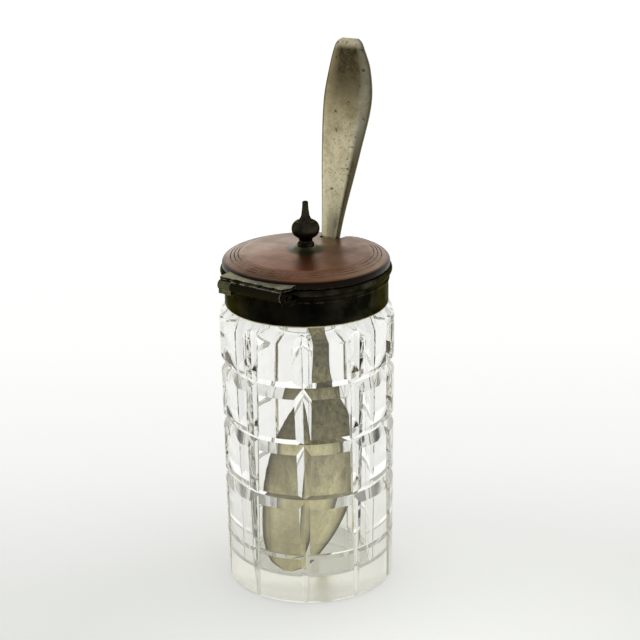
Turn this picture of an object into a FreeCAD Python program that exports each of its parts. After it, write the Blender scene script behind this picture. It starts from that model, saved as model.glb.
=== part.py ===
"""Cut-glass table jar with a hinged metal lid and its spoon.

The jar stands on Z = 0 with its axis on Z. The hinge is on the -Y side, its pin
along X. The lid swings up about the pin, and the spoon leans out through a notch
in the lid on the +Y side. All sizes are millimetres and degrees.
"""
import FreeCAD, Part
import math
import os
import Sketcher

Vector = FreeCAD.Vector
Z_AXIS = Vector(0, 0, 1)
X_AXIS = Vector(1, 0, 0)

DRIVING = {
    # glass
    "glass_radius_base": 24.5, "glass_radius_top": 25.2, "base_bevel": 0.8,
    "shoulder_low": 80.5, "shoulder_high": 84.9, "shoulder_edge_radius": 23.3, "shoulder_bend": 7.0,
    "neck_radius": 22.0, "glass_top": 94.8, "mouth_radius": 18.8,
    "cavity_radius_floor": 18.2, "floor_level": 6.2, "floor_fillet": 2.2,
    # cut pattern
    "column_count": 10, "row_pitch": 17.145, "first_row": 15.25, "deep_row_cuts": 3,
    "cut_depth_base": 0.8, "cut_depth_top": 2.7, "lowest_row_depth": 0.65, "row_cut_depth": 1.75,
    "cut_slope": 1.11, "cut_reach": 2.6,
    "cut_runout_start": 79.0, "cut_runout_radius": 6.0, "cut_runout_length": 5.0, "cut_phase": -3.1,
    # metal collar
    "collar_radius": 23.5, "collar_wall": 0.7, "collar_low": 85.25, "collar_top": 96.3,
    "flange_thick": 0.9, "flange_set_back": 0.2, "cement_set_back": 0.4,
    "bead_radius": 1.1, "bead_level": 94.9,
    "wire_radius": 0.35, "wire_level": 92.3,
    # hinge
    "pin_offset": 25.8, "pin_level": 95.15, "pin_radius": 0.75, "pin_clearance": 0.06,
    "knuckle_radius": 1.4, "lid_knuckle_radius": 1.6, "hinge_left": -10.7, "knuckle_split_left": -6.5,
    "knuckle_split_right": 11.2, "hinge_right": 12.8, "knuckle_gap": 0.15, "pin_head": 0.3,
    "leaf_thick": 0.85, "leaf_overhang": 0.3, "leaf_end_left": -10.5, "leaf_end_right": 11.9,
    "leaf_corner": 2.2, "web_height": 0.6, "arm_low": 92.7, "arm_high": 94.1, "arm_front": 0.85,
    "root_radius": 19.0, "hinge_relief": 0.35, "run_over": 1.0,
    # lid
    "lid_radius": 24.0, "lid_low": 96.4, "lid_edge_level": 98.4, "lid_edge_round": 1.3, "lid_wall": 0.9,
    "dome_radius_outer": 18.0, "dome_level_outer": 99.75, "dome_bend": 24.0,
    "dome_radius_inner": 6.0, "dome_level_inner": 100.35, "boss_radius": 2.8, "boss_level": 101.5,
    "boss_bend": 5.0, "boss_floor": 99.5, "boss_floor_radius": 5.0,
    "ring_outer": 21.55, "ring_spacing": 1.1, "ring_width": 0.45, "ring_depth": 0.22,
    "ring_count": 3, "ring_rise": 0.13,
    "notch_angle": 9.0, "notch_depth_radius": 12.6, "notch_width": 7.0, "notch_flare": 2.4,
    "notch_corner": 2.0,
    # finial and its fixing
    "finial_foot_radius": 2.4, "finial_foot_thick": 0.7, "finial_neck_radius": 1.86,
    "finial_neck_level": 1.5, "finial_neck_curve": 1.6, "finial_skirt_radius": 2.5,
    "finial_skirt_level": 2.6, "finial_bulb_radius": 4.0, "finial_bulb_level": 5.0,
    "finial_bulb_curve": 2.45, "finial_step_radius": 2.75, "finial_step_level": 7.2,
    "finial_flare_radius": 2.35, "finial_flare_curve": 3.2, "finial_spire_radius": 1.1,
    "finial_spire_level": 9.7, "finial_spire_curve": 16.0, "finial_tip_radius": 0.85,
    "finial_tip_bevel": 0.2, "finial_height": 13.0,
    "stud_radius": 1.0, "stud_end": 96.8, "washer_radius": 3.2, "washer_thick": 0.6,
    "nut_radius": 2.6, "nut_thick": 1.8,
    # spoon
    "spoon_length": 154.8, "spoon_foot_x": 0.763, "spoon_foot_y": -5.752, "spoon_foot_z": 4.899,
    "spoon_lean_back": 12.95, "spoon_lean_side": -2.06, "spoon_twist": 18.0,
}


class Size:
    """A size with both its value and the sheet expression that gives it."""

    def __init__(self, text, value):
        self.text = text
        self.value = float(value)

    def combine(self, sign, other, value):
        """Join two sizes, or a size and a number, into one expression."""
        return Size("(%s %s %s)" % (self.text, sign, as_size(other).text), value)

    def __add__(self, other):
        return self.combine("+", other, self.value + as_size(other).value)

    def __sub__(self, other):
        return self.combine("-", other, self.value - as_size(other).value)

    def __mul__(self, other):
        return self.combine("*", other, self.value * as_size(other).value)

    def __truediv__(self, other):
        return self.combine("/", other, self.value / as_size(other).value)

    def __neg__(self):
        return as_size(0) - self


def as_size(item):
    """Give a plain number the same form as a sheet size."""
    if isinstance(item, Size):
        return item
    return Size(repr(float(item)), item)


def make_sheet(doc):
    """Write the driving dimensions into a spreadsheet, one alias to a cell."""
    sheet = doc.addObject("Spreadsheet::Sheet", "Sizes")
    for row, (alias, value) in enumerate(DRIVING.items(), start=1):
        sheet.set("A%d" % row, alias)
        sheet.set("B%d" % row, str(value))
        sheet.setAlias("B%d" % row, alias)
    doc.recompute()
    return sheet


doc = FreeCAD.newDocument("table_jar")
sheet = make_sheet(doc)


def dim(alias):
    """The driving dimension of this name, as a size."""
    return Size("Sizes." + alias, sheet.get(alias))


# ---------------------------------------------------------------- sketching

def origin_item(body, role):
    """A plane or axis of the body's own origin."""
    return next(item for item in body.Origin.OriginFeatures if item.Role == role)


def bind(item, prop, size):
    """Drive one property of an object from the sheet."""
    item.setExpression(prop, as_size(size).text)


def new_sketch(body, name, role="XZ_Plane", level=None):
    """A sketch on one of the body's origin planes, lifted along its normal by level."""
    sketch = body.newObject("Sketcher::SketchObject", name)
    sketch.AttachmentSupport = [(origin_item(body, role), "")]
    sketch.MapMode = "FlatFace"
    if level is not None:
        bind(sketch, "AttachmentOffset.Base.z", level)
    return sketch


def arc_between(start, end, radius):
    """A circular arc from start to end; a positive radius turns left, a negative one right.

    Returns the arc and whether it runs backwards, because sketch arcs always turn left.
    """
    backwards = radius < 0
    first, last = (end, start) if backwards else (start, end)
    chord = last - first
    half = chord.Length / 2
    rise = math.sqrt(radius * radius - half * half)
    left = Vector(-chord.y, chord.x, 0).normalize()
    centre = (first + last) * 0.5 + left * rise
    angles = [math.atan2(p.y - centre.y, p.x - centre.x) for p in (first, last)]
    circle = Part.Circle(centre, Z_AXIS, abs(radius))
    return Part.ArcOfCircle(circle, angles[0], angles[1]), backwards


def fix_point(sketch, index, corner, place):
    """Hold one end of a sketch edge at a place given by two sizes."""
    for kind, axis, size in (("DistanceX", -2, place[0]), ("DistanceY", -1, place[1])):
        size = as_size(size)
        if size.value == 0:
            sketch.addConstraint(Sketcher.Constraint("PointOnObject", index, corner, axis))
            continue
        number = sketch.addConstraint(Sketcher.Constraint(kind, index, corner, size.value))
        sketch.setExpression("Constraints[%d]" % number, size.text)


def outline(sketch, places):
    """Draw a closed outline.

    Each place is (x, y), or (x, y, radius) where the edge that leaves it is an arc.
    """
    points = [Vector(as_size(p[0]).value, as_size(p[1]).value, 0) for p in places]
    ends = []
    for number, place in enumerate(places):
        start = points[number]
        end = points[(number + 1) % len(points)]
        if len(place) == 2:
            index = sketch.addGeometry(Part.LineSegment(start, end))
            ends.append((index, 1, 2))
            continue
        radius = as_size(place[2])
        arc, backwards = arc_between(start, end, radius.value)
        index = sketch.addGeometry(arc)
        ends.append((index, 2, 1) if backwards else (index, 1, 2))
        held = radius if radius.value > 0 else -radius
        constraint = sketch.addConstraint(Sketcher.Constraint("Radius", index, held.value))
        sketch.setExpression("Constraints[%d]" % constraint, held.text)
    for number, (index, begin, finish) in enumerate(ends):
        following, entry, _ = ends[(number + 1) % len(ends)]
        sketch.addConstraint(Sketcher.Constraint("Coincident", index, finish, following, entry))
        fix_point(sketch, index, begin, places[number])


def new_body(name):
    """An empty PartDesign body whose label names its node."""
    body = doc.addObject("PartDesign::Body", name)
    body.Label = name
    return body


def turned(body, name, places, cut=False):
    """Revolve an outline of (radius, level) places about the body's Z axis."""
    sketch = new_sketch(body, name + "_outline")
    outline(sketch, places)
    kind = "PartDesign::Groove" if cut else "PartDesign::Revolution"
    feature = body.newObject(kind, name)
    feature.Profile = sketch
    feature.ReferenceAxis = (origin_item(body, "Z_Axis"), "")
    feature.Angle = 360
    doc.recompute()
    return feature


def volume_falls(body, before, name):
    """Stop if a cut took nothing away."""
    doc.recompute()
    if body.Shape.Volume > before - 1e-3:
        raise RuntimeError(name + " removes nothing")


# ---------------------------------------------------------------- glass

def glass_blank():
    """The turned glass: slightly flared body, shoulder, straight neck and round cavity."""
    body = new_body("glass_jar")
    top = dim("glass_top")
    turned(body, "glass_outer", [
        (0, 0),
        (dim("glass_radius_base") - dim("base_bevel"), 0),
        (dim("glass_radius_base"), dim("base_bevel")),
        (dim("glass_radius_top"), dim("shoulder_low"), dim("shoulder_bend")),
        (dim("shoulder_edge_radius"), dim("shoulder_high")),
        (dim("neck_radius"), dim("shoulder_high")),
        (dim("neck_radius"), top),
        (0, top),
    ])
    before = body.Shape.Volume
    floor = dim("floor_level")
    turned(body, "glass_cavity", [
        (0, floor),
        (dim("cavity_radius_floor") - dim("floor_fillet"), floor, dim("floor_fillet")),
        (dim("cavity_radius_floor"), floor + dim("floor_fillet")),
        (dim("mouth_radius"), top + dim("run_over")),
        (0, top + dim("run_over")),
    ], cut=True)
    volume_falls(body, before, "glass_cavity")
    return body


def row_groove(body, name, level, depth):
    """One horizontal V groove round the body."""
    outer = dim("glass_radius_base") + dim("cut_reach")
    bottom = dim("glass_radius_base") - depth
    half = (outer - bottom) * dim("cut_slope")
    return turned(body, name, [
        (bottom, level),
        (outer, level - half),
        (outer, level + half),
    ], cut=True)


def cut_rows(body):
    """The horizontal mitre cuts: a shallow one near the base, and deep ones patterned above it."""
    before = body.Shape.Volume
    row_groove(body, "lowest_row_cut", dim("first_row"), dim("lowest_row_depth"))
    volume_falls(body, before, "lowest_row_cut")
    before = body.Shape.Volume
    groove = row_groove(body, "row_cut", dim("first_row") + dim("row_pitch"), dim("row_cut_depth"))
    rows = body.newObject("PartDesign::LinearPattern", "row_cuts")
    rows.Originals = [groove]
    rows.Direction = (origin_item(body, "Z_Axis"), "")
    bind(rows, "Occurrences", dim("deep_row_cuts"))
    bind(rows, "Length", dim("row_pitch") * (dim("deep_row_cuts") - 1))
    body.Tip = rows
    volume_falls(body, before, "row_cuts")


def cut_section(body, name, level, bottom):
    """A V section across the wall on the -Y side, its point at the bottom of the cut."""
    sketch = new_sketch(body, name, "XY_Plane", level)
    outer = dim("glass_radius_top") + dim("cut_reach")
    half = (outer - bottom) * dim("cut_slope")
    outline(sketch, [(0, -bottom), (half, -outer), (-half, -outer)])
    return sketch


RUNOUT_SECTIONS = 4


def cut_columns(body):
    """The upright mitre cuts: deepest under the shoulder, where they run out in a round arch."""
    before = body.Shape.Volume
    deep = dim("glass_radius_top") - dim("cut_depth_top")
    shallow = dim("glass_radius_base") - dim("cut_depth_base")
    foot = cut_section(body, "cut_foot", -dim("run_over"), shallow)
    sections = [cut_section(body, "cut_top", dim("cut_runout_start"), deep)]
    radius = dim("cut_runout_radius")
    for number in range(1, RUNOUT_SECTIONS + 1):
        climb = dim("cut_runout_length") * (number / RUNOUT_SECTIONS)
        across = Size("sqrt((%s)^2 - (%s)^2)" % (radius.text, climb.text),
                      math.sqrt(radius.value ** 2 - climb.value ** 2))
        sections.append(cut_section(body, "cut_runout_%d" % number,
                                    dim("cut_runout_start") + climb, deep + radius - across))
    cut = body.newObject("PartDesign::SubtractiveLoft", "column_cut")
    cut.Profile = foot
    cut.Sections = sections
    cut.Ruled = True
    doc.recompute()
    columns = body.newObject("PartDesign::PolarPattern", "column_cuts")
    columns.Originals = [cut]
    columns.Axis = (origin_item(body, "Z_Axis"), "")
    columns.Angle = 360
    bind(columns, "Occurrences", dim("column_count"))
    body.Tip = columns
    volume_falls(body, before, "column_cuts")


def make_glass():
    """The cut glass, turned so that its cuts stand at their own phase to the hinge."""
    body = glass_blank()
    cut_columns(body)
    cut_rows(body)
    body.Placement = FreeCAD.Placement(Vector(), FreeCAD.Rotation(Z_AXIS, dim("cut_phase").value))
    return body


# ---------------------------------------------------------------- collar

def make_cement():
    """The plaster bed that holds the metal on the neck and shows as a thin line below it."""
    body = new_body("neck_cement")
    inner = dim("neck_radius")
    outer = dim("collar_radius") - dim("collar_wall")
    lip = dim("mouth_radius") + dim("cement_set_back")
    under_flange = dim("collar_top") - dim("flange_thick")
    turned(body, "cement_ring", [
        (inner, dim("shoulder_high")),
        (dim("shoulder_edge_radius"), dim("shoulder_high")),
        (dim("shoulder_edge_radius"), dim("collar_low")),
        (outer, dim("collar_low")),
        (outer, under_flange),
        (lip, under_flange),
        (lip, dim("glass_top")),
        (inner, dim("glass_top")),
    ])
    return body


def make_band():
    """The plain collar band, turned in over the glass rim as a flat seat for the lid."""
    body = new_body("collar_band")
    outer = dim("collar_radius")
    inner = outer - dim("collar_wall")
    mouth = dim("mouth_radius") + dim("flange_set_back")
    under_flange = dim("collar_top") - dim("flange_thick")
    turned(body, "band_ring", [
        (inner, dim("collar_low")),
        (outer, dim("collar_low")),
        (outer, dim("collar_top")),
        (mouth, dim("collar_top")),
        (mouth, under_flange),
        (inner, under_flange),
    ])
    return body


def cylinder(name, radius, low, height):
    """An upright cylinder on the jar's axis."""
    item = doc.addObject("Part::Cylinder", name)
    bind(item, "Radius", radius)
    bind(item, "Height", height)
    bind(item, "Placement.Base.z", low)
    return item


def pin_cylinder(name, radius, left, right):
    """A cylinder along the hinge pin, from one X to another."""
    item = doc.addObject("Part::Cylinder", name)
    item.Placement = FreeCAD.Placement(Vector(), FreeCAD.Rotation(Vector(0, 1, 0), 90))
    bind(item, "Radius", radius)
    bind(item, "Height", right - left)
    bind(item, "Placement.Base.x", left)
    bind(item, "Placement.Base.y", -dim("pin_offset"))
    bind(item, "Placement.Base.z", dim("pin_level"))
    return item


def block(name, low, high):
    """A box between two corners given as sizes."""
    item = doc.addObject("Part::Box", name)
    for prop, axis, start, end in zip(("Length", "Width", "Height"), "xyz", low, high):
        bind(item, prop, as_size(end) - start)
        bind(item, "Placement.Base." + axis, start)
    return item


def combine(kind, name, base, tool):
    """A boolean of two shapes."""
    item = doc.addObject("Part::" + kind, name)
    item.Base = base
    item.Tool = tool
    item.Label = name
    return item


def ring_wire(name, section_radius, level):
    """A round wire lying against the outside of the band, with its hidden half left out."""
    wire = doc.addObject("Part::Torus", name + "_round")
    bind(wire, "Radius1", dim("collar_radius"))
    bind(wire, "Radius2", section_radius)
    bind(wire, "Placement.Base.z", level)
    core = cylinder(name + "_core", dim("collar_radius"), level - section_radius * 2, section_radius * 4)
    return combine("Cut", name, wire, core)


def make_bead():
    """The bead round the top of the collar, filed flat where the hinge turns beside it."""
    ring = ring_wire("collar_bead_ring", dim("bead_radius"), dim("bead_level"))
    near = -dim("pin_offset") + dim("lid_knuckle_radius") + dim("hinge_relief")
    reach = dim("bead_radius") * 2
    relief = block("bead_relief",
                   (dim("hinge_left"), near - reach, dim("bead_level") - reach),
                   (dim("hinge_right"), near, dim("bead_level") + reach))
    return combine("Cut", "collar_bead", ring, relief)


# ---------------------------------------------------------------- hinge

def make_collar_knuckle(side, left, right):
    """One outer knuckle with the arm that is soldered to the band under the bead."""
    name = "hinge_knuckle_" + side
    barrel = pin_cylinder(name + "_barrel", dim("knuckle_radius"), left, right)
    arm = block(name + "_arm",
                (left, -dim("pin_offset") - dim("arm_front"), dim("arm_low")),
                (right, -dim("root_radius"), dim("arm_high")))
    band = cylinder(name + "_band", dim("collar_radius"), dim("collar_low"),
                    dim("collar_top") - dim("collar_low"))
    bead = doc.addObject("Part::Torus", name + "_bead")
    bind(bead, "Radius1", dim("collar_radius"))
    bind(bead, "Radius2", dim("bead_radius"))
    bind(bead, "Placement.Base.z", dim("bead_level"))
    trimmed = combine("Cut", name + "_trimmed", combine("Cut", name + "_fitted", arm, band), bead)
    solid = combine("Fuse", name + "_solid", barrel, trimmed)
    hole = pin_cylinder(name + "_hole", dim("pin_radius"), left - dim("run_over"), right + dim("run_over"))
    return combine("Cut", name, solid, hole)


def make_pin():
    """The hinge pin, a little longer than the knuckles."""
    pin = pin_cylinder("hinge_pin", dim("pin_radius"), dim("hinge_left") - dim("pin_head"),
                       dim("hinge_right") + dim("pin_head"))
    pin.Label = "hinge_pin"
    return pin


def make_leaf():
    """The lid's hinge leaf: a flat plate soldered to the rim over a rolled knuckle."""
    gap = dim("knuckle_gap")
    over = dim("run_over")
    left = dim("knuckle_split_left") + gap
    right = dim("knuckle_split_right") - gap
    barrel = pin_cylinder("leaf_barrel", dim("lid_knuckle_radius"), left, right)
    under = dim("pin_level") + dim("lid_knuckle_radius")
    upper = under + dim("leaf_thick")
    front = -dim("pin_offset") - dim("leaf_overhang")
    plate = block("leaf_plate",
                  (dim("leaf_end_left"), front, under),
                  (dim("leaf_end_right"), -dim("root_radius"), upper))
    web = block("leaf_web",
                (left, -dim("pin_offset") - dim("pin_radius"), under - dim("web_height")),
                (right, -dim("pin_offset") + dim("pin_radius"), under))
    rim = cylinder("leaf_rim", dim("lid_radius"), dim("lid_low"), upper - dim("lid_low") + over)
    fitted = combine("Cut", "leaf_fitted", plate, rim)
    corner = block("leaf_corner_box",
                   (dim("leaf_end_right") - dim("leaf_corner"), front, under - over),
                   (dim("leaf_end_right") + over, front + dim("leaf_corner"), upper + over))
    round_off = cylinder("leaf_corner_round", dim("leaf_corner"), under - over * 2,
                         dim("leaf_thick") + over * 4)
    bind(round_off, "Placement.Base.x", dim("leaf_end_right") - dim("leaf_corner"))
    bind(round_off, "Placement.Base.y", front + dim("leaf_corner"))
    waste = combine("Cut", "leaf_corner_waste", corner, round_off)
    rounded = combine("Cut", "leaf_rounded", fitted, waste)
    rolled = combine("Fuse", "leaf_rolled", barrel, web)
    solid = combine("Fuse", "leaf_solid", rounded, rolled)
    hole = pin_cylinder("leaf_hole", dim("pin_radius") + dim("pin_clearance"), left - over, right + over)
    return combine("Cut", "lid_leaf", solid, hole)


# ---------------------------------------------------------------- lid

def lid_blank(body):
    """The spun cover: upright rim, rounded edge, shallow dome and a raised middle boss."""
    radius = dim("lid_radius")
    edge = dim("lid_edge_level")
    turned_in = dim("lid_edge_round")
    wall = dim("lid_wall")
    turned(body, "lid_shell", [
        (dim("stud_radius"), dim("boss_floor")),
        (dim("boss_floor_radius"), dim("boss_floor")),
        (dim("dome_radius_outer"), dim("dome_level_outer") - wall),
        (radius - wall, edge - wall),
        (radius - wall, dim("lid_low")),
        (radius, dim("lid_low")),
        (radius, edge - turned_in, turned_in),
        (radius - turned_in, edge, dim("dome_bend")),
        (dim("dome_radius_outer"), dim("dome_level_outer")),
        (dim("dome_radius_inner"), dim("dome_level_inner"), -dim("boss_bend")),
        (dim("boss_radius"), dim("boss_level")),
        (dim("stud_radius"), dim("boss_level")),
    ])


def dome_level(radius):
    """The height of the outer dome at a radius: the arc between the edge and the flat."""
    start = Vector(dim("lid_radius").value - dim("lid_edge_round").value, dim("lid_edge_level").value, 0)
    end = Vector(dim("dome_radius_outer").value, dim("dome_level_outer").value, 0)
    arc, _ = arc_between(start, end, dim("dome_bend").value)
    centre = arc.Center
    return centre.y + math.sqrt(dim("dome_bend").value ** 2 - (radius.value - centre.x) ** 2)


def cut_rings(body):
    """Fine engraved lines round the edge of the dome."""
    before = body.Shape.Volume
    half = dim("ring_width") / 2
    for number in range(round(dim("ring_count").value)):
        middle = dim("ring_outer") - dim("ring_spacing") * number
        level = as_size(dome_level(middle))
        turned(body, "engraved_ring_%d" % (number + 1), [
            (middle, level - dim("ring_depth")),
            (middle + half, level + dim("ring_rise")),
            (middle - half, level + dim("ring_rise")),
        ], cut=True)
    volume_falls(body, before, "engraved rings")


def cut_notch(body):
    """The spoon notch: a slot with rounded inner corners that widens to the rim."""
    before = body.Shape.Volume
    sketch = new_sketch(body, "notch_outline", "XY_Plane", dim("lid_low") - dim("run_over"))
    bind(sketch, "AttachmentOffset.Rotation.Angle", dim("notch_angle"))
    half = dim("notch_width") / 2
    inner = dim("notch_depth_radius")
    corner = dim("notch_corner")
    outer = dim("lid_radius") + dim("run_over") * 2
    outline(sketch, [
        (half + dim("notch_flare"), outer),
        (-half - dim("notch_flare"), outer),
        (-half, inner + corner, corner),
        (-half + corner, inner),
        (half - corner, inner, corner),
        (half, inner + corner),
    ])
    notch = body.newObject("PartDesign::Pocket", "spoon_notch")
    notch.Profile = sketch
    notch.Type = "ThroughAll"
    notch.Reversed = True
    body.Tip = notch
    volume_falls(body, before, "spoon_notch")


def make_lid():
    """The lid cover with its engraved rings and spoon notch."""
    body = new_body("lid_cover")
    lid_blank(body)
    cut_rings(body)
    cut_notch(body)
    return body


def make_finial():
    """The turned knob: foot, waist, bulb, step and spire on a long stud."""
    body = new_body("finial_knob")
    base = dim("boss_level")
    stud = dim("stud_radius")
    turned(body, "finial_turning", [
        (0, dim("stud_end")),
        (stud, dim("stud_end")),
        (stud, base),
        (dim("finial_foot_radius"), base),
        (dim("finial_foot_radius"), base + dim("finial_foot_thick"), -dim("finial_neck_curve")),
        (dim("finial_neck_radius"), base + dim("finial_neck_level"), -dim("finial_neck_curve")),
        (dim("finial_skirt_radius"), base + dim("finial_skirt_level"), dim("finial_bulb_curve")),
        (dim("finial_bulb_radius"), base + dim("finial_bulb_level"), dim("finial_bulb_curve")),
        (dim("finial_step_radius"), base + dim("finial_step_level")),
        (dim("finial_flare_radius"), base + dim("finial_step_level"), -dim("finial_flare_curve")),
        (dim("finial_spire_radius"), base + dim("finial_spire_level"), -dim("finial_spire_curve")),
        (dim("finial_tip_radius"), base + dim("finial_height") - dim("finial_tip_bevel")),
        (dim("finial_tip_radius") - dim("finial_tip_bevel"), base + dim("finial_height")),
        (0, base + dim("finial_height")),
    ])
    return body


def make_washer():
    """The washer under the lid."""
    body = new_body("finial_washer")
    high = dim("boss_floor")
    low = high - dim("washer_thick")
    turned(body, "washer_ring", [
        (dim("stud_radius"), low),
        (dim("washer_radius"), low),
        (dim("washer_radius"), high),
        (dim("stud_radius"), high),
    ])
    return body


def make_nut():
    """The hexagon nut on the stud under the washer."""
    body = new_body("finial_nut")
    high = dim("boss_floor") - dim("washer_thick")
    sketch = new_sketch(body, "nut_outline", "XY_Plane", high - dim("nut_thick"))
    corners = [(math.cos(math.radians(60 * k)), math.sin(math.radians(60 * k))) for k in range(6)]
    outline(sketch, [(dim("nut_radius") * x, dim("nut_radius") * y) for x, y in corners])
    hole = sketch.addGeometry(Part.Circle(Vector(), Z_AXIS, dim("stud_radius").value))
    sketch.addConstraint(Sketcher.Constraint("Coincident", hole, 3, -1, 1))
    number = sketch.addConstraint(Sketcher.Constraint("Radius", hole, dim("stud_radius").value))
    sketch.setExpression("Constraints[%d]" % number, dim("stud_radius").text)
    pad = body.newObject("PartDesign::Pad", "nut_pad")
    pad.Profile = sketch
    bind(pad, "Length", dim("nut_thick"))
    return body


# ---------------------------------------------------------------- spoon

# Each station of the spoon, from the tip of the bowl to the end of the handle: the
# distance along it, the width, how far the face is dished (or crowned, when negative),
# the thickness in the middle, and how far the middle stands behind the straight line
# and to the right of it.
SPOON_STATIONS = (
    (0.0, 2.0, 0.1, 0.9, -11.2, 0.0),
    (2.0, 9.6, 0.5, 1.0, -10.9, 0.1),
    (7.3, 16.6, 2.0, 1.1, -9.8, 0.3),
    (13.8, 21.8, 3.6, 1.2, -8.4, 0.8),
    (23.8, 26.0, 5.2, 1.2, -6.5, 1.3),
    (33.8, 25.4, 5.2, 1.2, -4.6, 1.6),
    (41.8, 21.2, 4.2, 1.3, -3.1, 2.1),
    (47.8, 15.8, 2.6, 1.5, -1.9, 2.4),
    (52.3, 9.6, 1.2, 1.9, -1.0, 1.8),
    (57.3, 6.0, 0.3, 2.2, -0.1, 0.8),
    (63.8, 5.0, -0.2, 2.3, 0.4, 0.1),
    (75.8, 4.4, -0.5, 2.4, -0.2, 0.0),
    (97.8, 5.6, -0.5, 2.0, -0.6, 0.0),
    (121.8, 11.5, -0.6, 1.7, 0.2, 0.5),
    (136.8, 14.1, -0.6, 1.6, 1.4, 0.5),
    (146.3, 12.4, -0.6, 1.6, 2.5, -0.1),
    (152.3, 8.8, -0.5, 1.5, 3.4, -0.8),
    (153.8, 7.2, -0.4, 1.4, 4.1, -1.0),
    (154.8, 4.8, -0.3, 1.2, 4.8, -1.1),
)
SPOON_EDGE = 0.7


def bow(start, end, sag, back):
    """A shallow curve between two edges whose middle stands sag + back behind the line."""
    curve = Part.BezierCurve()
    curve.setPoles([
        Vector(start, back, 0),
        Vector((start + end) / 2, 2 * sag + back, 0),
        Vector(end, back, 0),
    ])
    return curve.toShape()


def spoon_section(distance, width, dish, thick, offset, shift):
    """A closed section across the spoon: front curve, two thin edges and back curve."""
    left = shift - width / 2
    right = shift + width / 2
    behind = offset + SPOON_EDGE
    front = bow(left, right, dish, offset)
    back = bow(right, left, dish + thick - SPOON_EDGE, behind)
    right_edge = Part.LineSegment(Vector(right, offset, 0), Vector(right, behind, 0)).toShape()
    left_edge = Part.LineSegment(Vector(left, behind, 0), Vector(left, offset, 0)).toShape()
    wire = Part.Wire([front, right_edge, back, left_edge])
    wire.translate(Vector(0, 0, distance))
    return wire


def make_spoon():
    """The spoon, lofted along its length and leaned into the notch. It faces the hinge."""
    scale = dim("spoon_length").value / SPOON_STATIONS[-1][0]
    sections = [spoon_section(station[0] * scale, *station[1:]) for station in SPOON_STATIONS]
    spoon = doc.addObject("Part::Feature", "spoon")
    spoon.Label = "spoon"
    spoon.Shape = Part.makeLoft(sections, True, False)
    twist = FreeCAD.Rotation(Z_AXIS, dim("spoon_twist").value)
    lean_back = FreeCAD.Rotation(X_AXIS, -dim("spoon_lean_back").value)
    lean_side = FreeCAD.Rotation(Vector(0, 1, 0), dim("spoon_lean_side").value)
    foot = Vector(*(dim("spoon_foot_" + axis).value for axis in "xyz"))
    spoon.Placement = FreeCAD.Placement(foot, lean_side * lean_back * twist)
    return spoon


# ---------------------------------------------------------------- build and write

def make_all():
    """Every sub-part of the jar, in the order in which it is put together."""
    return [
        make_glass(),
        make_cement(),
        make_band(),
        make_bead(),
        ring_wire("collar_wire", dim("wire_radius"), dim("wire_level")),
        make_collar_knuckle("left", dim("hinge_left"), dim("knuckle_split_left")),
        make_collar_knuckle("right", dim("knuckle_split_right"), dim("hinge_right")),
        make_pin(),
        make_leaf(),
        make_lid(),
        make_finial(),
        make_washer(),
        make_nut(),
        make_spoon(),
    ]


def check_document():
    """Stop if any object of the document failed to compute."""
    for item in doc.Objects:
        if "Invalid" in item.State or "Error" in item.State:
            raise RuntimeError("%s failed: %s" % (item.Name, item.State))


def write_parts(parts):
    """Write each sub-part to its own file after testing its shape."""
    os.makedirs("parts", exist_ok=True)
    for part in parts:
        shape = part.Shape
        if shape.isNull() or not shape.isValid() or len(shape.Solids) != 1:
            raise RuntimeError("%s has no sound single solid" % part.Label)
        shape.exportStep("parts/%s.step" % part.Label)


parts = make_all()
doc.recompute()
check_document()
write_parts(parts)
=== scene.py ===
"""A cut-glass condiment jar with a dark metal collar, a hinged copper lid and a silver-plated spoon."""

import math

import bmesh
import bpy
from mathutils import Matrix, Vector


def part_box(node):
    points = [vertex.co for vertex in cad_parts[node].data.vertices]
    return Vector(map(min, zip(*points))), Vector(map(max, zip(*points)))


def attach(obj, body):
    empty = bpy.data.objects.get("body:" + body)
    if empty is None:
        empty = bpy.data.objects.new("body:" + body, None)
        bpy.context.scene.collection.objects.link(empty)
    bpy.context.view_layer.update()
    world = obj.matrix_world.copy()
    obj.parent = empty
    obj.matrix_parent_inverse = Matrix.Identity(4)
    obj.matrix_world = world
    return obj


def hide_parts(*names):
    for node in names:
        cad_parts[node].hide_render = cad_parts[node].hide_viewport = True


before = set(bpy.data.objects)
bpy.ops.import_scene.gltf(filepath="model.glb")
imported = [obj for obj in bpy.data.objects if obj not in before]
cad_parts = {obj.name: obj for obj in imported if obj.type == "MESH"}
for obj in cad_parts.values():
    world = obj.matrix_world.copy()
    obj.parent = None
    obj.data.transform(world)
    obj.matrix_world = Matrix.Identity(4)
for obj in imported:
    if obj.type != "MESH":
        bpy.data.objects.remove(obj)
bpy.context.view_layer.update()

MM = 0.001
UP = (0, 0, 1)
GLASS_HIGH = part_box("glass_jar")[1]
LID_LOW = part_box("lid_cover")[0]


# ---------------------------------------------------------------- meshes

# a point of an outline nearer to the axis than this counts as on it
ON_AXIS = 1e-7
ROUND_STEPS = 360


def add_object(name, mesh):
    """Puts a mesh into the scene as a new object."""
    piece = bpy.data.objects.new(name, mesh)
    bpy.context.scene.collection.objects.link(piece)
    return piece


def finished_mesh(name, shape):
    """Turns a shape that has been built face by face into a mesh."""
    mesh = bpy.data.meshes.new(name)
    shape.to_mesh(mesh)
    shape.free()
    return mesh


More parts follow.
